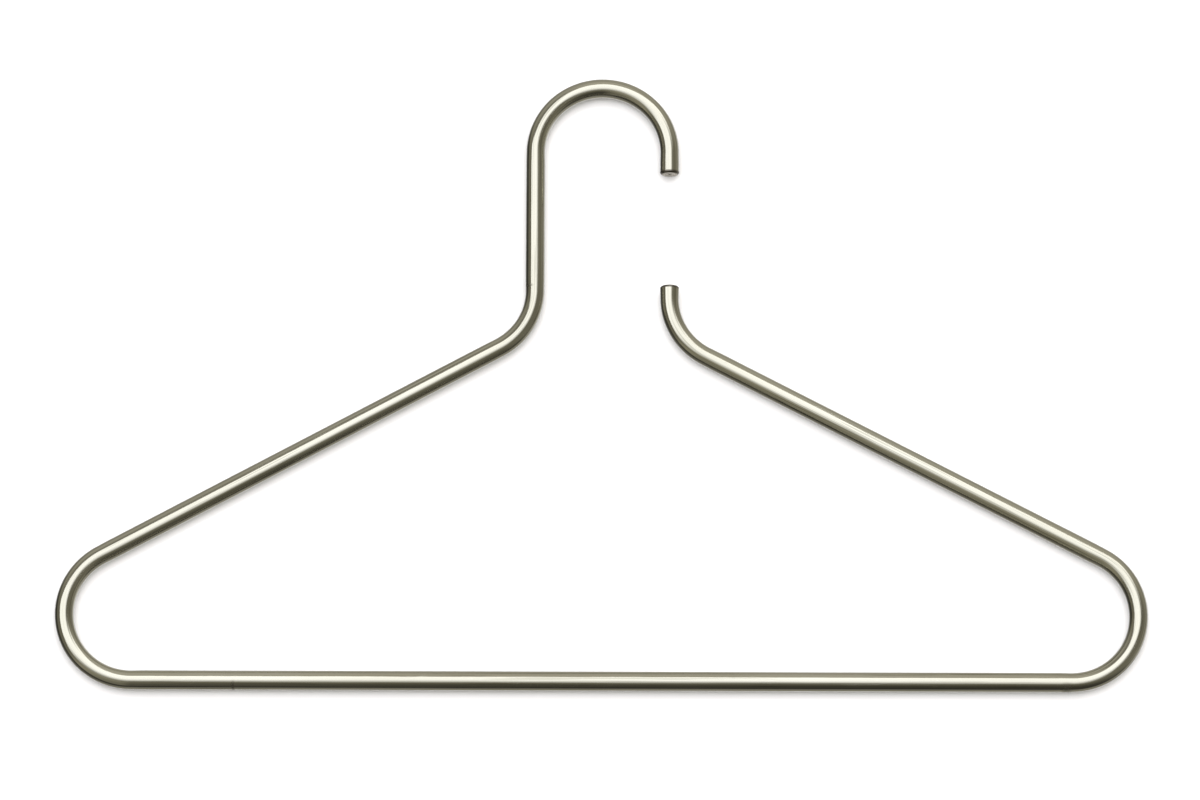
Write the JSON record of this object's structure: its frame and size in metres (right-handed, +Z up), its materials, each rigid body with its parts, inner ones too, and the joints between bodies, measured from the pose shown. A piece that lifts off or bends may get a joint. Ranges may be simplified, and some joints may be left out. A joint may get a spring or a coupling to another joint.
{
  "type": "clothes hanger",
  "caption": "Bent round steel tube clothes hanger with an open hook, sloping shoulders, a garment bar and plugged tube ends.",
  "frame": {"origin": "top of the hook's inner curve, at mid thickness, where the hanger rests on its rail", "axes": "+Z up, +X along the garment bar towards the side where the hook opens, +Y through the flat of the hanger towards its back"},
  "size_m": [0.45, 0.008, 0.262],
  "materials": {
    "satin_stainless": "satin, lightly brushed along the tube, warm nickel tone",
    "turned_stainless": "fine turned face with concentric tool marks and a bright chamfer"
  },
  "bodies": {
    "root": {"bent_tube": "satin_stainless", "hook_end_plug": "turned_stainless", "tip_end_plug": "turned_stainless"}
  },
  "joints": []
}
